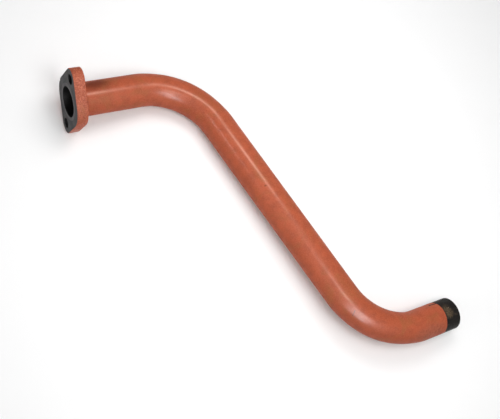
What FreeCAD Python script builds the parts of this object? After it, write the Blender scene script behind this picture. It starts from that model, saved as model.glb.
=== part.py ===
import FreeCAD, Part
import math
import os

from FreeCAD import Vector

# Sizes in millimetres and degrees. The origin is the centre of the bore at the flange's front
# face. +X runs into the pipe, the S lies in the XY plane and +Z is square to it.

# Tube: one steel tube bent twice, so that the two end legs are parallel
TUBE_OD = 38.0
TUBE_WALL = 2.0
INLET_LEG = 80.0
BEND_ANGLE = 75.0
BEND_RADIUS = 85.0
MIDDLE_LEG = 240.0
OUTLET_LEG = 46.0
BEND_FLATTENING = 0.05      # how much a bend is squashed in its own plane
BEND_BULGE = 0.02           # and how much it swells square to that plane
BEND_EASE = 0.2             # share of the bend over which it goes from round to squashed
BEND_SECTIONS = 17

# Flange: a rhombic two-bolt plate
PLATE_THICKNESS = 12.5
BOLT_CIRCLE = 65.0
BOLT_HOLE = 11.0
BOLT_LINE_ANGLE = 74.0      # from +Y towards +Z
LOBE_RADIUS = 12.0
SIDE_ANGLE = 32.0           # between each straight side and the bolt line
WAIST_CORNER_RADIUS = 26.0
TUBE_SLIP = 0.2             # radial gap between the tube and the plate's bore
EDGE_BREAK = 0.6
HOLE_BREAK = 0.5

# Welds
BACK_WELD_LEG = 4.5
BACK_WELD_CROWN = 0.7
SEAL_WELD_WIDTH = 1.8

TUBE_R = TUBE_OD / 2
BORE_R = TUBE_R - TUBE_WALL
PLATE_BORE_R = TUBE_R + TUBE_SLIP
BEND = math.radians(BEND_ANGLE)
SIDE = math.radians(SIDE_ANGLE)


def unit(angle):
    """Direction in the XY plane, angle in radians from +X."""
    return Vector(math.cos(angle), math.sin(angle), 0)


def ring(points):
    """Solid of revolution about X from (x, radius) points joined by straight lines."""
    profile = Part.makePolygon([Vector(x, r, 0) for x, r in points + points[:1]])
    return Part.Face(profile).revolve(Vector(0, 0, 0), Vector(1, 0, 0), 360)


def straight_tube(start, direction, length):
    outside = Part.makeCylinder(TUBE_R, length, start, direction)
    return outside.cut(Part.makeCylinder(BORE_R, length, start, direction))


def squash(share):
    """0 at the ends of a bend, 1 along most of it."""
    ramp = min(1.0, min(share, 1.0 - share) / BEND_EASE)
    return ramp * ramp * (3 - 2 * ramp)


def bent_solid(centre, from_angle, to_angle, radius):
    """Loft through elliptical sections about a centre, from one polar angle to another."""
    wires = []
    for i in range(BEND_SECTIONS):
        share = i / (BEND_SECTIONS - 1)
        out = unit(from_angle + (to_angle - from_angle) * share)
        in_plane = radius - TUBE_R * BEND_FLATTENING * squash(share)
        across = radius + TUBE_R * BEND_BULGE * squash(share) + 1e-4
        middle = centre + out * BEND_RADIUS
        section = Part.Ellipse(middle + Vector(0, 0, across), middle + out * in_plane, middle)
        wires.append(Part.Wire(section.toShape()))
    return Part.makeLoft(wires, True, False)


def bent_tube(centre, from_angle, to_angle):
    outside = bent_solid(centre, from_angle, to_angle, TUBE_R)
    return outside.cut(bent_solid(centre, from_angle, to_angle, BORE_R))


def flange_outline():
    """Rhombus with rounded corners, the bolt line along +Y, as a face at x = 0."""
    half = BOLT_CIRCLE / 2
    side_distance = LOBE_RADIUS + half * math.sin(SIDE)
    waist_centre = (side_distance - WAIST_CORNER_RADIUS) / math.cos(SIDE)
    edges = []
    ends = []
    for y_sign, z_sign in ((1, 1), (-1, 1), (-1, -1), (1, -1)):
        normal = Vector(0, y_sign * math.sin(SIDE), z_sign * math.cos(SIDE))
        lobe = Vector(0, y_sign * half, 0) + normal * LOBE_RADIUS
        waist = Vector(0, 0, z_sign * waist_centre) + normal * WAIST_CORNER_RADIUS
        ends.append((lobe, waist))
        edges.append(Part.LineSegment(lobe, waist).toShape())
    tip = half + LOBE_RADIUS
    corner = waist_centre + WAIST_CORNER_RADIUS
    edges.append(Part.Arc(ends[0][1], Vector(0, 0, corner), ends[1][1]).toShape())
    edges.append(Part.Arc(ends[1][0], Vector(0, -tip, 0), ends[2][0]).toShape())
    edges.append(Part.Arc(ends[2][1], Vector(0, 0, -corner), ends[3][1]).toShape())
    edges.append(Part.Arc(ends[3][0], Vector(0, tip, 0), ends[0][0]).toShape())
    return Part.Face(Part.Wire(Part.__sortEdges__(edges)))


def flange_plate():
    plate = flange_outline().extrude(Vector(PLATE_THICKNESS, 0, 0))
    rim = [e for e in plate.Edges if e.BoundBox.XLength < 1e-6]
    plate = plate.makeChamfer(EDGE_BREAK, rim)
    along = Vector(1, 0, 0)
    plate = plate.cut(Part.makeCylinder(PLATE_BORE_R, PLATE_THICKNESS, Vector(0, 0, 0), along))
    groove = Part.makeCone(PLATE_BORE_R + SEAL_WELD_WIDTH, PLATE_BORE_R, SEAL_WELD_WIDTH,
                           Vector(0, 0, 0), along)
    plate = plate.cut(groove)
    hole_r = BOLT_HOLE / 2
    for sign in (1, -1):
        front = Vector(0, sign * BOLT_CIRCLE / 2, 0)
        back = front + Vector(PLATE_THICKNESS, 0, 0)
        plate = plate.cut(Part.makeCylinder(hole_r, PLATE_THICKNESS, front, along))
        for mouth, inward in ((front, along), (back, along * -1)):
            plate = plate.cut(Part.makeCone(hole_r + HOLE_BREAK, hole_r, HOLE_BREAK, mouth, inward))
    plate.rotate(Vector(0, 0, 0), along, BOLT_LINE_ANGLE)
    return plate


def back_weld():
    """Fillet weld, slightly crowned, between the plate's back face and the tube."""
    foot = Vector(PLATE_THICKNESS, TUBE_R, 0)
    on_plate = Vector(PLATE_THICKNESS, TUBE_R + BACK_WELD_LEG, 0)
    on_tube = Vector(PLATE_THICKNESS + BACK_WELD_LEG, TUBE_R, 0)
    crown = (on_plate + on_tube) * 0.5 + Vector(1, 1, 0).normalize() * BACK_WELD_CROWN
    profile = Part.Wire([Part.LineSegment(foot, on_plate).toShape(),
                         Part.Arc(on_plate, crown, on_tube).toShape(),
                         Part.LineSegment(on_tube, foot).toShape()])
    return Part.Face(profile).revolve(Vector(0, 0, 0), Vector(1, 0, 0), 360)


def seal_weld():
    """Fills the groove at the plate's face and is machined flush with it."""
    return ring([(0, TUBE_R), (0, PLATE_BORE_R + SEAL_WELD_WIDTH),
                 (SEAL_WELD_WIDTH, PLATE_BORE_R), (SEAL_WELD_WIDTH, TUBE_R)])


quarter = math.pi / 2
bend_1_start = Vector(INLET_LEG, 0, 0)
bend_1_centre = bend_1_start - Vector(0, BEND_RADIUS, 0)
bend_1_end = bend_1_centre + unit(quarter - BEND) * BEND_RADIUS
bend_2_start = bend_1_end + unit(-BEND) * MIDDLE_LEG
bend_2_centre = bend_2_start + unit(quarter - BEND) * BEND_RADIUS
bend_2_end = bend_2_centre - Vector(0, BEND_RADIUS, 0)

nodes = {
    "flange_plate": flange_plate(),
    "back_weld": back_weld(),
    "seal_weld": seal_weld(),
    "tube_inlet_leg": straight_tube(Vector(0, 0, 0), Vector(1, 0, 0), INLET_LEG),
    "tube_first_bend": bent_tube(bend_1_centre, quarter, quarter - BEND),
    "tube_middle_leg": straight_tube(bend_1_end, unit(-BEND), MIDDLE_LEG),
    "tube_second_bend": bent_tube(bend_2_centre, -quarter - BEND, -quarter),
    "tube_outlet_leg": straight_tube(bend_2_end, Vector(1, 0, 0), OUTLET_LEG),
}

os.makedirs("parts", exist_ok=True)
for name, shape in nodes.items():
    shape.exportStep("parts/%s.step" % name)
    box = shape.BoundBox
    print("%-18s valid %s solids %d volume %9.0f  x %.1f..%.1f y %.1f..%.1f z %.1f..%.1f" % (
        name, shape.isValid(), len(shape.Solids), shape.Volume,
        box.XMin, box.XMax, box.YMin, box.YMax, box.ZMin, box.ZMax))
outlet = bend_2_end + Vector(OUTLET_LEG, 0, 0)
print("outlet mouth at x %.2f y %.2f" % (outlet.x, outlet.y))
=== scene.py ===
import math

import bmesh
import bpy
import numpy as np
from mathutils import Matrix, Vector, noise
from mathutils.geometry import delaunay_2d_cdt


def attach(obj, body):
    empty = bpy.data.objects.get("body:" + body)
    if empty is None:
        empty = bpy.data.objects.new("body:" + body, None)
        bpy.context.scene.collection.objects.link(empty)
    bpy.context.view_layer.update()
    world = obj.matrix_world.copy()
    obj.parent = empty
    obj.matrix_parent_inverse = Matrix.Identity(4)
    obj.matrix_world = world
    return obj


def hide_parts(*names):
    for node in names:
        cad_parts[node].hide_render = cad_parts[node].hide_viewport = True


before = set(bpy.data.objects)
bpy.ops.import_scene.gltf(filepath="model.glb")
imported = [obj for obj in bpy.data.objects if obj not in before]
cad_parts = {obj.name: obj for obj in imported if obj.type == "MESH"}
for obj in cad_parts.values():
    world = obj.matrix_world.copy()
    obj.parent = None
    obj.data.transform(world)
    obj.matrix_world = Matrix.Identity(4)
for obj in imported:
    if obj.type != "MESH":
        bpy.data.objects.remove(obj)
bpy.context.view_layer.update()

# A steel pipe bent twice into an S, with a two-bolt flange at its inlet and a bare outlet.
# The pipe starts at the origin and runs along +X. Lengths are in millimetres unless a name or
# comment says metres, and MM turns them into Blender's metres.

MM = 0.001
TAU = 2 * math.pi

# The CAD source's own sizes, in millimetres, with its angles turned into radians
TUBE_R = 19.0
BORE_R = 17.0
INLET_LEG = 80.0
BEND = math.radians(75.0)
BEND_R = 85.0
MIDDLE_LEG = 240.0
OUTLET_LEG = 46.0
FLATTENING = 0.05      # how much a bend is squashed in its own plane
BULGE = 0.02           # and how much it swells square to that plane
BEND_EASE = 0.2        # share of the bend over which it goes from round to squashed
PLATE_T = 12.5
BOLT_CIRCLE = 65.0
BOLT_HOLE_R = 5.5
BOLT_LINE = math.radians(74.0)
LOBE_R = 12.0
SIDE = math.radians(32.0)    # between each straight side and the bolt line
WAIST_CORNER_R = 26.0
PLATE_BORE_R = 19.2
SEAL_WIDTH = 1.8
WELD_LEG = 4.5

# Edges and finish, in millimetres
BARE_END = 20.8        # unpainted length at the outlet
PAINT_STEP = 0.12      # how far the paint stands above the bare steel
END_BREAK = 0.35       # broken edge outside the tube's outlet
MOUTH_BREAK = 0.3      # and inside both of its mouths
HOLE_BREAK = 0.4       # broken edge of the bolt holes
NICK_AT = (0.0, 29.0, -2.0)
NICK_SIZE = 1.5
NICK_DEPTH = 0.9

QUARTER = math.pi / 2
BEND_LENGTH = BEND_R * BEND
STATIONS = np.cumsum([0, INLET_LEG, BEND_LENGTH, MIDDLE_LEG, BEND_LENGTH, OUTLET_LEG])
LENGTH = float(STATIONS[-1])


# ---------------------------------------------------------------- the pipe's path
def polar(angle):
    return np.array([math.cos(angle), math.sin(angle)])


BEND_1_CENTRE = np.array([INLET_LEG, -BEND_R])
BEND_1_END = BEND_1_CENTRE + polar(QUARTER - BEND) * BEND_R
BEND_2_START = BEND_1_END + polar(-BEND) * MIDDLE_LEG
BEND_2_CENTRE = BEND_2_START + polar(QUARTER - BEND) * BEND_R
BEND_2_END = BEND_2_CENTRE - np.array([0, BEND_R])


def station(s):
    """Centre, left-of-travel direction and squash at distance s along the pipe."""
    i = int(np.clip(np.searchsorted(STATIONS, s, side="right") - 1, 0, 4))
    along = s - STATIONS[i]
    if i == 0:
        return np.array([s, 0.0]), polar(QUARTER), 0.0
    if i == 2:
        return BEND_1_END + polar(-BEND) * along, polar(QUARTER - BEND), 0.0
    if i == 4:
        return BEND_2_END + np.array([along, 0.0]), polar(QUARTER), 0.0
    share = along / BEND_LENGTH
    ease = min(1.0, min(share, 1 - share) / BEND_EASE)
    squash = ease * ease * (3 - 2 * ease)
    if i == 1:
        left = polar(QUARTER - along / BEND_R)
        return BEND_1_CENTRE + left * BEND_R, left, squash
    left = polar(QUARTER - BEND + along / BEND_R)
    return BEND_2_CENTRE - left * BEND_R, left, squash


def on_tube(s, theta, radius):
    """A point of the tube, theta from +Z towards the left of travel."""
    centre, left, squash = station(s)
    a = radius - TUBE_R * FLATTENING * squash
    b = radius + TUBE_R * BULGE * squash
    out = a * math.sin(theta)
    return (centre[0] + left[0] * out, centre[1] + left[1] * out, b * math.cos(theta))


def fbm(p, scale, octaves=3):
    """Smooth noise, about -1 to 1, at a feature size in millimetres."""
    return noise.fractal(Vector(p) / scale, 1.0, 2.0, octaves, noise_basis="PERLIN_ORIGINAL")


# ---------------------------------------------------------------- meshes
def make_object(name, verts, faces, materials, slots):
    """Smooth mesh object from points in mm; slots gives each face's place in materials."""
    mesh = bpy.data.meshes.new(name)
    mesh.from_pydata([tuple(c * MM for c in v) for v in verts], [], faces)
    for material in materials:
        mesh.materials.append(material)
    mesh.polygons.foreach_set("material_index", slots)
    mesh.validate()
    mesh.update()
    mesh.polygons.foreach_set("use_smooth", [True] * len(mesh.polygons))
    obj = bpy.data.objects.new(name, mesh)
    bpy.context.scene.collection.objects.link(obj)
    return obj


def weld_points(obj):
    """Joins points that lie on each other, so that the mesh is closed."""
    bm = bmesh.new()
    bm.from_mesh(obj.data)
    bmesh.ops.remove_doubles(bm, verts=bm.verts, dist=1e-6)
    loose = [v for v in bm.verts if not v.link_faces]
    bmesh.ops.delete(bm, geom=loose, context="VERTS")
    bmesh.ops.recalc_face_normals(bm, faces=bm.faces)
    bm.to_mesh(obj.data)
    bm.free()


def sharpen(obj, degrees):
    """Keeps edges sharper than this angle crisp under smooth shading."""
    obj.data.set_sharp_from_angle(angle=math.radians(degrees))


def bridge(faces, slots, row_a, row_b, count, slot):
    """Closed band of faces between two rings of points that start at row_a and row_b."""
    for j in range(count):
        k = (j + 1) % count
        faces.append((row_a + j, row_a + k, row_b + k, row_b + j))
        slots.append(slot)


# ---------------------------------------------------------------- materials
def new_material(name):
    material = bpy.data.materials.new(name)
    material.use_nodes = True
    tree = material.node_tree
    return material, tree, tree.nodes["Principled BSDF"]


def node(tree, kind, inputs=None, **settings):
    """New node: an input that is a socket is linked, and any other is set as a value."""
    n = tree.nodes.new(kind)
    for key, value in settings.items():
        setattr(n, key, value)
    for key, value in (inputs or {}).items():
        if isinstance(value, bpy.types.NodeSocket):
            tree.links.new(value, n.inputs[key])
        else:
            n.inputs[key].default_value = value
    return n


def maths(tree, operation, a, b=0.0, c=0.0):
    return node(tree, "ShaderNodeMath", {0: a, 1: b, 2: c}, operation=operation).outputs[0]


def vector_maths(tree, operation, *values, result="Vector"):
    return node(tree, "ShaderNodeVectorMath", dict(enumerate(values)),
                operation=operation).outputs[result]


def coords(tree):
    """Object coordinates in millimetres: the objects sit at the origin."""
    metres = node(tree, "ShaderNodeTexCoord").outputs["Object"]
    return vector_maths(tree, "MULTIPLY", metres, (1 / MM,) * 3)


def noise_tex(tree, vector, size, detail=3.0, rough=0.55, distortion=0.0):
    """Noise with features about this many millimetres across."""
    return node(tree, "ShaderNodeTexNoise", {
        "Vector": vector, "Scale": 1.0 / size, "Detail": detail, "Roughness": rough,
        "Distortion": distortion}).outputs["Fac"]


def ramp(tree, value, low, high, out_low=0.0, out_high=1.0):
    """Smooth step from out_low to out_high as the value goes from low to high."""
    return node(tree, "ShaderNodeMapRange", {
        "Value": value, "From Min": low, "From Max": high, "To Min": out_low,
        "To Max": out_high}, interpolation_type="SMOOTHSTEP").outputs["Result"]


def mix(tree, factor, a, b):
    """Colour a where the factor is 0, b where it is 1."""
    n = node(tree, "ShaderNodeMix", data_type="RGBA", blend_type="MIX")
    for socket, value in (("Factor_Float", factor), ("A_Color", a), ("B_Color", b)):
        target = next(i for i in n.inputs if i.identifier == socket)
        if isinstance(value, bpy.types.NodeSocket):
            tree.links.new(value, target)
        else:
            target.default_value = value
    return next(o for o in n.outputs if o.identifier == "Result_Color")


def bump(tree, height, distance_mm, normal=None):
    """Bump this deep, over another bump's normal if one is given."""
    inputs = {"Height": height, "Strength": 1.0, "Distance": distance_mm * MM}
    if normal is not None:
        inputs["Normal"] = normal
    return node(tree, "ShaderNodeBump", inputs).outputs["Normal"]


def rgb(r, g, b):
    """Linear colour from 0-255 sRGB."""
    def lin(v):
        v /= 255
        return v / 12.92 if v <= 0.04045 else ((v + 0.055) / 1.055) ** 2.4
    return (lin(r), lin(g), lin(b), 1.0)


def set_inputs(shader, **values):
    """Sets numbers on the shader's own sockets."""
    names = {"specular": "Specular IOR Level", "coat": "Coat Weight",
             "coat_roughness": "Coat Roughness"}
    for key, value in values.items():
        shader.inputs[names.get(key, key.capitalize())].default_value = value


def shaken(tree, p, amount, size):
    """Shifts points by noise of a feature size in mm, so that a mark's outline is ragged."""
    shake = node(tree, "ShaderNodeTexNoise", {"Vector": p, "Scale": 1.0 / size, "Detail": 3.0})
    push = vector_maths(tree, "SUBTRACT", shake.outputs["Color"], (0.5, 0.5, 0.5))
    return vector_maths(tree, "MULTIPLY_ADD", push, (amount,) * 3, p)


def spot(tree, p, centre, reach, soft, ragged, size):
    """1 inside a ragged ellipsoid of these half sizes in mm, fading to 0 at its edge."""
    away = vector_maths(tree, "SUBTRACT", shaken(tree, p, ragged, size), centre)
    share = vector_maths(tree, "DIVIDE", away, reach)
    far = vector_maths(tree, "LENGTH", share, result="Value")
    return ramp(tree, far, 1.0 - soft, 1.0, 1.0, 0.0)


def streak(tree, p, start, end, half_width, ragged):
    """1 along a ragged line between two points in mm, fading to 0 at half_width from it."""
    run = Vector(end) - Vector(start)
    away = vector_maths(tree, "SUBTRACT", shaken(tree, p, ragged, size=1.25), start)
    dot = vector_maths(tree, "DOT_PRODUCT", away, tuple(run / run.length_squared), result="Value")
    share = node(tree, "ShaderNodeClamp", {"Value": dot}).outputs[0]
    reach = node(tree, "ShaderNodeVectorMath", {0: tuple(run), "Scale": share},
                 operation="SCALE").outputs[0]
    far = vector_maths(tree, "LENGTH", vector_maths(tree, "SUBTRACT", away, reach), result="Value")
    return ramp(tree, far, half_width * 0.4, half_width, 1.0, 0.0)


def paint_colour(tree, p):
    """Red oxide paint: broad drifts of tone, finer blotches, fine grain and sparse specks."""
    drift = noise_tex(tree, p, 70, 2)
    blotch = noise_tex(tree, p, 9, 4, 0.6)
    grain = noise_tex(tree, p, 1.2, 3, 0.65)
    tan = noise_tex(tree, p, 24, 3, 0.6, 0.8)
    speck = noise_tex(tree, p, 1.7, 1, 0.4)
    colour = mix(tree, ramp(tree, drift, 0.3, 0.7), rgb(160, 76, 49), rgb(173, 84, 56))
    colour = mix(tree, ramp(tree, blotch, 0.36, 0.72, 0.0, 0.6), colour, rgb(137, 66, 45))
    colour = mix(tree, ramp(tree, tan, 0.5, 0.7, 0.0, 0.6), colour, rgb(148, 84, 50))
    colour = mix(tree, ramp(tree, grain, 0.42, 0.66, 0.0, 0.3), colour, rgb(192, 106, 76))
    colour = mix(tree, ramp(tree, speck, 0.74, 0.8, 0.0, 0.55), colour, rgb(92, 44, 28))
    return colour, blotch


def tube_paint():
    material, tree, shader = new_material("red_oxide_tube")
    p = coords(tree)
    colour, blotch = paint_colour(tree, p)
    # painted shadow of the flange darkening the top of the inlet leg
    flange_shadow = spot(tree, p, centre=(29, 8, 18), reach=(27, 13, 8), soft=0.8, ragged=7.0, size=9.0)
    colour = mix(tree, maths(tree, "MULTIPLY", flange_shadow, 0.68), colour, rgb(84, 36, 24))
    # handling marks near the bare end
    rub = spot(tree, p, centre=(308, -368, 10), reach=(32, 12, 16), soft=0.7, ragged=10.0, size=6.0)
    grime = ramp(tree, noise_tex(tree, p, 2.6, 4, 0.7), 0.42, 0.62)
    colour = mix(tree, maths(tree, "MULTIPLY", rub, 0.4), colour, rgb(168, 100, 80))
    colour = mix(tree, maths(tree, "MULTIPLY", maths(tree, "MULTIPLY", rub, grime), 0.4), colour,
                 rgb(100, 56, 42))
    # grazed spot on the middle leg, a scratch across the second bend, a chip at the paint's edge
    speck = spot(tree, p, centre=(178.4, -153.6, 17.4), reach=(2.2, 1.3, 2.2), soft=0.6,
                 ragged=0.7, size=1.2)
    scratch = streak(tree, p, start=(222.4, -318.7, 15.7), end=(219.7, -322.8, 10.8),
                     half_width=0.6, ragged=0.5)
    chip = streak(tree, p, start=(323.0, -341.9, 10.3), end=(334.5, -343.0, 11.8),
                  half_width=1.5, ragged=1.6)
    for mark, tone in ((maths(tree, "MULTIPLY", speck, 0.6), rgb(96, 52, 24)),
                       (scratch, rgb(100, 62, 58)), (chip, rgb(46, 16, 12))):
        colour = mix(tree, mark, colour, tone)
    tree.links.new(colour, shader.inputs["Base Color"])
    rough = ramp(tree, blotch, 0.3, 0.8, 0.5, 0.68)
    # the paint is also a little rougher under the painted flange shadow
    tree.links.new(maths(tree, "MULTIPLY_ADD", flange_shadow, 0.15, rough), shader.inputs["Roughness"])
    normal = bump(tree, noise_tex(tree, p, 2.2, 2, 0.5), 0.035)
    normal = bump(tree, noise_tex(tree, p, 0.5, 2, 0.6), 0.014, normal)
    tree.links.new(normal, shader.inputs["Normal"])
    set_inputs(shader, specular=0.04, coat=0.115, coat_roughness=0.26)
    return material


def rough_paint():
    """The same paint over the flange's coarse cut edge and back."""
    material, tree, shader = new_material("red_oxide_flange")
    p = coords(tree)
    colour, blotch = paint_colour(tree, p)
    pits = noise_tex(tree, p, 1.9, 3, 0.7)
    crumb = noise_tex(tree, p, 1.0, 2, 0.6)
    # painted shade darkens the pits of the bump below, and painted light lifts its raised crumbs
    colour = mix(tree, ramp(tree, pits, 0.36, 0.52, 0.6, 0.0), colour, rgb(118, 50, 36))
    colour = mix(tree, ramp(tree, crumb, 0.5, 0.68, 0.0, 0.6), colour, rgb(212, 124, 94))
    # paler, pinker patch low on the edge
    pale_patch = spot(tree, p, centre=(7, -18, -31), reach=(12, 17, 15), soft=0.6, ragged=6.0, size=5.0)
    colour = mix(tree, maths(tree, "MULTIPLY", pale_patch, 0.75), colour, rgb(184, 124, 110))
    tree.links.new(colour, shader.inputs["Base Color"])
    tree.links.new(ramp(tree, blotch, 0.3, 0.8, 0.55, 0.75), shader.inputs["Roughness"])
    normal = bump(tree, pits, 0.4)
    normal = bump(tree, crumb, 0.16, normal)
    tree.links.new(normal, shader.inputs["Normal"])
    set_inputs(shader, specular=0.12)
    return material


def ring_vector(tree, p):
    """Distance from the bore's axis, as a vector for a noise that follows turning marks."""
    split = node(tree, "ShaderNodeSeparateXYZ", {0: p})
    flat = node(tree, "ShaderNodeCombineXYZ",
                {"Y": split.outputs["Y"], "Z": split.outputs["Z"]}).outputs[0]
    radius = vector_maths(tree, "LENGTH", flat, result="Value")
    return node(tree, "ShaderNodeCombineXYZ", {"X": radius}).outputs[0]


def turned_steel(name, dark, light, paler):
    """Dark faced steel: fine turning rings about the bore, with dull patches."""
    material, tree, shader = new_material(name)
    p = coords(tree)
    ring = noise_tex(tree, ring_vector(tree, p), 0.4, 3, 0.7)
    patch = noise_tex(tree, p, 11, 4, 0.6)
    colour = mix(tree, ramp(tree, patch, 0.3, 0.7), dark, light)
    colour = mix(tree, ramp(tree, ring, 0.35, 0.7, 0.0, 0.35), colour, paler)
    cool = noise_tex(tree, p, 18, 2)
    colour = mix(tree, ramp(tree, cool, 0.5, 0.7, 0.0, 0.3), colour, rgb(44, 52, 60))
    tree.links.new(colour, shader.inputs["Base Color"])
    tree.links.new(ramp(tree, patch, 0.3, 0.7, 0.45, 0.65), shader.inputs["Roughness"])
    normal = bump(tree, ring, 0.02)
    normal = bump(tree, noise_tex(tree, p, 0.7, 3, 0.6), 0.03, normal)
    tree.links.new(normal, shader.inputs["Normal"])
    set_inputs(shader, metallic=0.2, specular=0.2)
    return material


def mill_scale(name, dark, light, rust_and_highlight, rust_low, highlight_at=None):
    """Unpainted hot-rolled steel: blue-black scale with brown patches and scuffs, and a painted
    highlight in the same brown where a place for it is given.
    """
    material, tree, shader = new_material(name)
    p = coords(tree)
    cloud = noise_tex(tree, p, 6, 4, 0.65)
    colour = mix(tree, ramp(tree, noise_tex(tree, p, 2.0, 3), 0.3, 0.7), dark, light)
    share = ramp(tree, cloud, rust_low, rust_low + 0.16, 0.0, 0.5)
    # painted highlight: a lit brown patch along the top of the bare end, with grit through it
    if highlight_at:
        paler = spot(tree, p, highlight_at, reach=(9, 12, 9), soft=0.8, ragged=9.0, size=5.0)
        grit = ramp(tree, noise_tex(tree, p, 2.2, 4, 0.7), 0.35, 0.6, 0.25, 1.0)
        share = maths(tree, "MAXIMUM", share, maths(tree, "MULTIPLY", paler, grit))
    colour = mix(tree, share, colour, rust_and_highlight)
    fleck = ramp(tree, noise_tex(tree, p, 1.1, 2, 0.5), 0.66, 0.72, 0.0, 0.8)
    colour = mix(tree, maths(tree, "MULTIPLY", fleck, share), colour, rgb(168, 156, 134))
    tree.links.new(colour, shader.inputs["Base Color"])
    tree.links.new(ramp(tree, cloud, 0.3, 0.7, 0.45, 0.7), shader.inputs["Roughness"])
    tree.links.new(bump(tree, noise_tex(tree, p, 0.8, 3, 0.6), 0.05), shader.inputs["Normal"])
    set_inputs(shader, metallic=0.1, specular=0.12)
    return material


TUBE_PAINT = tube_paint()
ROUGH_PAINT = rough_paint()
MACHINED = turned_steel("machined_face", dark=rgb(32, 30, 30), light=rgb(50, 48, 49),
                        paler=rgb(66, 64, 65))
# a lighter copy of the face's steel, as painted sheen of the shiny machined ring round the bore,
# for the seal weld and the tube's end in the flange
RIM_STEEL = turned_steel("machined_rim", dark=rgb(62, 59, 60), light=rgb(78, 75, 76),
                         paler=rgb(96, 93, 94))
# the bare end, with a painted highlight on its top
BARE = mill_scale("bare_end", dark=rgb(10, 9, 8), light=rgb(24, 20, 18), rust_and_highlight=rgb(84, 70, 52),
                  rust_low=0.56, highlight_at=(337.0, -356.0, 18.5))
# dark scale for the bore and bolt holes, darkened further to near black as painted shade inside
# them
INSIDE = mill_scale("inside_scale_and_shade", dark=rgb(5, 5, 5), light=rgb(10, 9, 8), rust_and_highlight=rgb(28, 19, 12),
                    rust_low=0.62)
CUT_STEEL = mill_scale("cut_steel", dark=rgb(50, 48, 46), light=rgb(76, 73, 70),
                       rust_and_highlight=rgb(70, 56, 42), rust_low=0.6)


# ---------------------------------------------------------------- tube
def paint_edge(theta):
    """Where the paint stops, measured along the pipe."""
    drift = fbm((math.sin(theta) * 9, math.cos(theta) * 9, 3.3), 2.5)
    wobble = 0.5 * math.sin(theta * 2 + 0.6) + 0.35 * drift
    return LENGTH - BARE_END + wobble


def build_tube():
    """One closed skin round the tube's wall: painted, bare at the outlet, then the inside."""
    materials = [TUBE_PAINT, BARE, INSIDE, CUT_STEEL, RIM_STEEL]
    painted, bare, inside_wall, outlet_end, flange_end = range(len(materials))
    around = 128
    edge = LENGTH - BARE_END
    # rings of points, closer together in the bends and near the paint's edge
    ends = [*STATIONS[:5], edge - 0.4]
    rows = []
    for start, end, spacing in zip(ends, ends[1:], (2.5, 1.6, 3.0, 1.6, 1.2)):
        rows += list(np.arange(start, end, spacing))
    at_edge = len(rows)
    rows += [edge, edge + 0.15]
    rows += list(np.arange(edge + 1.0, LENGTH - 0.5, 1.0))
    rows += [LENGTH - END_BREAK, LENGTH]
    verts, faces, slots = [], [], []
    for i, s in enumerate(rows):
        # rings near the paint's edge follow its wander, those clear of both ends sag a little
        follow = max(0.0, 1 - abs(s - edge) / 6.0)
        sags = PLATE_T + 6 < s < edge - 8
        for j in range(around):
            theta = TAU * j / around
            here = s + (paint_edge(theta) - edge) * follow
            radius = TUBE_R if i <= at_edge else TUBE_R - PAINT_STEP
            point = on_tube(here, theta, radius)
            if sags:
                sag = 0.04 * fbm(point, 38, 2)
                point = on_tube(here, theta, radius + sag - 0.05)
            if s == LENGTH:
                point = on_tube(here, theta, radius - END_BREAK)
            verts.append(point)
    for i in range(len(rows) - 1):
        slot = painted if i < at_edge else bare
        bridge(faces, slots, i * around, (i + 1) * around, around, slot)
    # end face, inner wall and the face that shows inside the flange
    inner = [LENGTH, LENGTH - 0.3] + list(np.arange(LENGTH - 4, 4, -4.0)) + [0.4, 0.0]
    last = (len(rows) - 1) * around
    for i, s in enumerate(inner):
        base = len(verts)
        grow = MOUTH_BREAK if s in (LENGTH, 0.0) else 0.0
        for j in range(around):
            verts.append(on_tube(s, TAU * j / around, BORE_R + grow))
        bridge(faces, slots, last, base, around, outlet_end if i == 0 else inside_wall)
        last = base
    bridge(faces, slots, last, 0, around, flange_end)
    tube = make_object("tube", verts, faces, materials, slots)
    weld_points(tube)
    sharpen(tube, 35)
    return tube


# ---------------------------------------------------------------- flange
FLANGE_MATERIALS = [ROUGH_PAINT, MACHINED, INSIDE]
COARSE, FACED, HOLES = range(len(FLANGE_MATERIALS))
GRAIN = 2.4            # size of the coarse edge's roughness
GRAIN_DEPTH = 0.16
RIM_GRAIN_DEPTH = 0.07
GRID = 1.6             # spacing of the points within the faces
GRID_JOG = 0.3
BACK_PITS = 0.12       # depth of the back face's roughness


def turned(y, z):
    """From the bolt line's own axes to the row's Y and Z."""
    c, s = math.cos(BOLT_LINE), math.sin(BOLT_LINE)
    return (y * c - z * s, y * s + z * c)


def outline(step):
    """Rounded rhombus in the bolt line's axes, as points about a step apart.

    Each is (y, z, outward y, outward z).
    """
    half = BOLT_CIRCLE / 2
    flat = LOBE_R + half * math.sin(SIDE)
    waist = (flat - WAIST_CORNER_R) / math.cos(SIDE)
    # the four arcs, anticlockwise; straight sides join them
    arcs = [((half, 0), LOBE_R, -(QUARTER - SIDE), QUARTER - SIDE),
            ((0, waist), WAIST_CORNER_R, QUARTER - SIDE, QUARTER + SIDE),
            ((-half, 0), LOBE_R, QUARTER + SIDE, QUARTER + SIDE + 2 * (QUARTER - SIDE)),
            ((0, -waist), WAIST_CORNER_R, 3 * QUARTER - SIDE, 3 * QUARTER + SIDE)]
    points = []
    for n, ((cy, cz), r, a0, a1) in enumerate(arcs):
        count = max(4, int(round(r * (a1 - a0) / step)))
        for i in range(count + 1):
            a = a0 + (a1 - a0) * i / count
            points.append((cy + r * math.cos(a), cz + r * math.sin(a), math.cos(a), math.sin(a)))
        (next_y, next_z), next_r, next_a, _ = arcs[(n + 1) % 4]
        end = (next_y + next_r * math.cos(next_a), next_z + next_r * math.sin(next_a))
        here = points[-1]
        run = math.dist(here[:2], end)
        for i in range(1, max(2, int(round(run / step)))):
            t = i * step / run
            if t < 1 - 0.5 * step / run:
                points.append((here[0] + (end[0] - here[0]) * t, here[1] + (end[1] - here[1]) * t,
                               here[2], here[3]))
    return points


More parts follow.
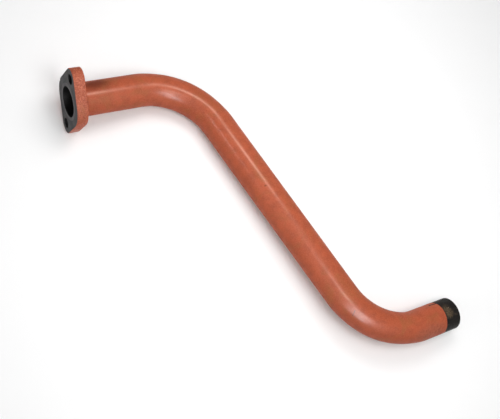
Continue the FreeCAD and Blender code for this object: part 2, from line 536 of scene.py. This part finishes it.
def flange_edge(verts, faces, slots, edge):
    """The plate's coarse outer edge, from front to back. Returns the number of its rings."""
    rows = [0.0, 0.35] + list(np.linspace(1.1, PLATE_T - 1.1, 13)) + [PLATE_T - 0.4, PLATE_T]
    count, last = len(edge), len(rows) - 1
    insets = {0: 0.35, 1: 0.1, last - 1: 0.15, last: 0.6}
    for n, x in enumerate(rows):
        depth = GRAIN_DEPTH if 0 < n < last else RIM_GRAIN_DEPTH
        for y, z, ny, nz in edge:
            ry, rz = turned(y, z)
            # the roughness only takes metal away
            cut = min(depth * (fbm((x, ry, rz), GRAIN, 4) - 0.6), -0.02) - insets.get(n, 0.0)
            nick = math.dist((x * 0.6, ry, rz), NICK_AT) / NICK_SIZE
            cut -= NICK_DEPTH * math.exp(-nick * nick)
            py, pz = turned(y + ny * cut, z + nz * cut)
            verts.append((x, py, pz))
    for n in range(last):
        bridge(faces, slots, n * count, (n + 1) * count, count, COARSE)
    return len(rows)


def inside(point, polygon):
    """Whether a point lies within a closed polygon, by the crossings on one side of it."""
    hit = False
    for a, b in zip(polygon, polygon[1:] + polygon[:1]):
        if (a.y > point.y) != (b.y > point.y):
            if point.x < (b.x - a.x) * (point.y - a.y) / (b.y - a.y) + a.x:
                hit = not hit
    return hit


def flange_face(verts, faces, slots, rim, x, holes):
    """Flat face at x inside the rim's points, open at each (centre, radius, sides) hole."""
    front = x == 0.0
    flat = [Vector(p[1:]) for p in rim]
    rings = [list(range(len(rim)))]
    for centre, r, sides in holes:
        start = len(flat)
        for j in range(sides):
            a = TAU * j / sides
            flat.append(Vector((centre[0] + r * math.cos(a), centre[1] + r * math.sin(a))))
        rings.append(list(range(start, start + sides)))
    fixed = len(flat)
    # a jogged grid over the whole plate, of which the points inside the rim are used
    for gy in np.arange(-32, 32, GRID):
        for gz in np.arange(-45, 45, GRID):
            jog_y = GRID_JOG * fbm((gy, gz, 1), 1.3)
            jog_z = GRID_JOG * fbm((gy, gz, 9), 1.3)
            flat.append(Vector((gy + jog_y, gz + jog_z)))
    loops = [rings[0]] + [list(reversed(r)) for r in rings[1:]]
    edges = [(r[i], r[(i + 1) % len(r)]) for r in loops for i in range(len(r))]
    points, _, triangles, _, _, _ = delaunay_2d_cdt(flat, edges, [], 0, 1e-5)
    borders = [[flat[i] for i in r] for r in rings]
    base = len(verts)
    for i, v in enumerate(points):
        sink = 0.0 if front or i < fixed else BACK_PITS * abs(fbm((0, v.x, v.y), 3.0, 4))
        verts.append((x - sink, v.x, v.y))
    for t in triangles:
        m = sum((points[i] for i in t), Vector((0, 0))) / 3
        if inside(m, borders[0]) and not any(inside(m, b) for b in borders[1:]):
            face = tuple(base + i for i in t)
            faces.append(tuple(reversed(face)) if front else face)
            slots.append(FACED if front else COARSE)


def hole_wall(verts, faces, slots, centre, rows, sides):
    """Wall of a hole along X about a centre, through (x, radius) rows."""
    base = len(verts)
    for x, r in rows:
        for j in range(sides):
            a = TAU * j / sides
            verts.append((x, centre[0] + r * math.cos(a), centre[1] + r * math.sin(a)))
    for n in range(len(rows) - 1):
        near, far = base + n * sides, base + (n + 1) * sides
        for j in range(sides):
            k = (j + 1) % sides
            faces.append((near + j, far + j, far + k, near + k))
            slots.append(HOLES)


def build_flange():
    """Coarse painted edge and back, machined front, and the walls of its three holes."""
    edge = outline(0.8)
    count = len(edge)
    verts, faces, slots = [], [], []
    rings = flange_edge(verts, faces, slots, edge)
    hole_sides, bore_sides = 40, 120
    half = BOLT_CIRCLE / 2
    mouth_r = BOLT_HOLE_R + HOLE_BREAK
    front_r = PLATE_BORE_R + SEAL_WIDTH
    for x, ring, bore_r in ((0.0, 0, front_r), (PLATE_T, rings - 1, PLATE_BORE_R)):
        rim = verts[ring * count:(ring + 1) * count]
        flange_face(verts, faces, slots, rim, x, ((turned(half, 0), mouth_r, hole_sides),
                                                  (turned(-half, 0), mouth_r, hole_sides),
                                                  ((0, 0), bore_r, bore_sides)))
    # bolt holes, with a broken edge at both mouths
    for sign in (1, -1):
        rows = [(0.0, mouth_r), (HOLE_BREAK, BOLT_HOLE_R), (PLATE_T - HOLE_BREAK, BOLT_HOLE_R),
                (PLATE_T, mouth_r)]
        hole_wall(verts, faces, slots, turned(sign * half, 0), rows, hole_sides)
    # bore, bevelled in front for the seal weld
    rows = [(0.0, front_r), (SEAL_WIDTH, PLATE_BORE_R), (PLATE_T, PLATE_BORE_R)]
    hole_wall(verts, faces, slots, (0, 0), rows, bore_sides)
    plate = make_object("flange", verts, faces, FLANGE_MATERIALS, slots)
    weld_points(plate)
    sharpen(plate, 40)
    return plate


# ---------------------------------------------------------------- weld
def build_back_weld():
    """Fillet bead with overlapping ripples, closed against the plate and the tube."""
    around, across = 360, 12
    ripple_pitch, bulge, bite = 2.1, 0.7, 0.05
    verts, faces, slots = [], [], []
    for j in range(around):
        a = TAU * j / around
        ripple = (a * TUBE_R / ripple_pitch) % 1.0
        wander = 0.35 * fbm((math.cos(a) * 20, math.sin(a) * 20, 5), 9, 3)
        leg = WELD_LEG - 0.5 + wander
        for i in range(across):
            t = i / (across - 1)
            crown = math.sin(math.pi * t)
            swell = crown * (0.75 + 0.22 * math.cos(TAU * (ripple + 0.35 * crown)))
            x = PLATE_T + leg * t + swell * bulge
            r = TUBE_R + leg * (1 - t) + swell * bulge
            verts.append((x - (bite if i == 0 else 0), r * math.cos(a), r * math.sin(a)))
        root_r = TUBE_R - 0.1
        verts.append((PLATE_T - bite, root_r * math.cos(a), root_r * math.sin(a)))
    n = across + 1
    for j in range(around):
        k = (j + 1) % around
        for i in range(n):
            m = (i + 1) % n
            faces.append((j * n + i, k * n + i, k * n + m, j * n + m))
            slots.append(0)
    bead = make_object("back_weld_bead", verts, faces, [ROUGH_PAINT], slots)
    weld_points(bead)
    sharpen(bead, 60)
    return bead


# ---------------------------------------------------------------- the pieces
tube = build_tube()
flange = build_flange()
bead = build_back_weld()
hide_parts("tube_inlet_leg", "tube_first_bend", "tube_middle_leg", "tube_second_bend",
            "tube_outlet_leg")
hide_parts("flange_plate")
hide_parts("back_weld")
for piece in (tube, flange, bead):
    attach(piece, "root")
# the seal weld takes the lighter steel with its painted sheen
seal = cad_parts["seal_weld"]
seal.data.materials.clear()
seal.data.materials.append(RIM_STEEL)

# ---------------------------------------------------------------- floor
# The pipe rests on the flange's lower lobe, the first bend and the outlet's edge
RESTS_ON = [(11.9, -7.9, -43.3), (155.3, -39.0, -19.15), (352.3, -355.8, -18.95)]
FLOOR_HALF = 6.0       # metres
FLOOR_TONE = 0.94


def floor_paint():
    """Matt pale floor that isn't there when it is seen from below."""
    material, tree, shader = new_material("pale_floor")
    shader.inputs["Base Color"].default_value = (FLOOR_TONE, FLOOR_TONE, FLOOR_TONE, 1)
    set_inputs(shader, roughness=1.0, specular=0.0)
    clear = node(tree, "ShaderNodeBsdfTransparent").outputs[0]
    behind = node(tree, "ShaderNodeNewGeometry").outputs["Backfacing"]
    both = node(tree, "ShaderNodeMixShader", {0: behind, 1: shader.outputs[0], 2: clear})
    tree.links.new(both.outputs[0], tree.nodes["Material Output"].inputs["Surface"])
    return material


def build_floor():
    """One square in the plane of the three points that the pipe rests on."""
    a, b, c = (Vector(p) * MM for p in RESTS_ON)
    up = (b - a).cross(c - a).normalized()
    if up.z < 0:
        up = -up
    right = up.orthogonal().normalized()
    ahead = up.cross(right)
    middle = (a + b + c) / 3
    corners = [middle + right * x * FLOOR_HALF + ahead * y * FLOOR_HALF
               for x, y in ((-1, -1), (1, -1), (1, 1), (-1, 1))]
    mesh = bpy.data.meshes.new("floor")
    mesh.from_pydata(corners, [], [(0, 1, 2, 3)])
    mesh.materials.append(floor_paint())
    square = bpy.data.objects.new("floor", mesh)
    bpy.context.scene.collection.objects.link(square)
    return square


floor = build_floor()

# ---------------------------------------------------------------- camera
CAMERA_AT = Vector((-0.23654, -0.38804, 0.71762))
CAMERA_RIGHT = Vector((0.85663, -0.37127, 0.35825))
CAMERA_DOWN = Vector((-0.22279, -0.89249, -0.39220))
CAMERA_AHEAD = Vector((0.46534, 0.25616, -0.84725))
SENSOR_MM = 36.0
LENS_MM = 53.92

camera = bpy.data.objects.new("camera", bpy.data.cameras.new("camera"))
turn = Matrix((CAMERA_RIGHT, -CAMERA_DOWN, -CAMERA_AHEAD)).transposed()
camera.matrix_world = Matrix.Translation(CAMERA_AT) @ turn.to_4x4()
camera.data.sensor_width = SENSOR_MM
camera.data.lens = LENS_MM
bpy.context.scene.collection.objects.link(camera)
bpy.context.scene.camera = camera

# ---------------------------------------------------------------- light
WORLD_LIGHT = 0.42
WARM = (1.0, 0.68, 0.53)


def lamp(name, place, aim, size, watts, along=(0, 1, 0), diffuse=True, colour=(1, 1, 1)):
    """Rectangular softbox at a place in mm, its longer side as near as can be to `along`."""
    data = bpy.data.lights.new(name, "AREA")
    data.shape = "RECTANGLE"
    data.size, data.size_y = (v * MM for v in size)
    data.energy = watts
    data.color = colour
    away = (Vector(place) - Vector(aim)).normalized()
    tall = (Vector(along) - away * Vector(along).dot(away)).normalized()
    box = bpy.data.objects.new(name, data)
    turn = Matrix((tall.cross(away), tall, away)).transposed()
    box.matrix_world = Matrix.Translation(Vector(place) * MM) @ turn.to_4x4()
    box.visible_diffuse = diffuse
    bpy.context.scene.collection.objects.link(box)


# Broad softboxes above and to the left of the view, and two smaller ones overhead
lamp("zenith_box", (100, -250, 1500), (170, -170, 0), (900, 900), 2.0)
lamp("left_box", (-900, -200, 450), (170, -170, 0), (700, 700), 1.4)
lamp("overhead", (180, -5, 600), (170, -90, 0), (260, 260), 1.35)
lamp("overhead_low", (50, -400, 585), (218, -300, 17), (260, 260), 2.1)
# A window and three boxes that show only in the gloss
lamp("window_glint", (-65, -684, 365), (200, -260, 10), (215, 520), 20.0,
     along=(0.64, 0.44, 0.63), diffuse=False)
lamp("side_glint", (-322, -60, 381), (153, -77, 14), (100, 100), 1.0, diffuse=False)
lamp("overhead_glint", (180, -5, 600), (170, -90, 0), (75, 110), 5.0, diffuse=False, colour=WARM)
lamp("low_glint", (50, -400, 585), (218, -300, 17), (60, 60), 2.7, diffuse=False, colour=WARM)

# Pale surround
world = bpy.data.worlds.new("studio")
world.use_nodes = True
world.node_tree.nodes["Background"].inputs["Color"].default_value = (1, 1, 1, 1)
world.node_tree.nodes["Background"].inputs["Strength"].default_value = WORLD_LIGHT
bpy.context.scene.world = world
bpy.context.scene.view_settings.view_transform = "Standard"
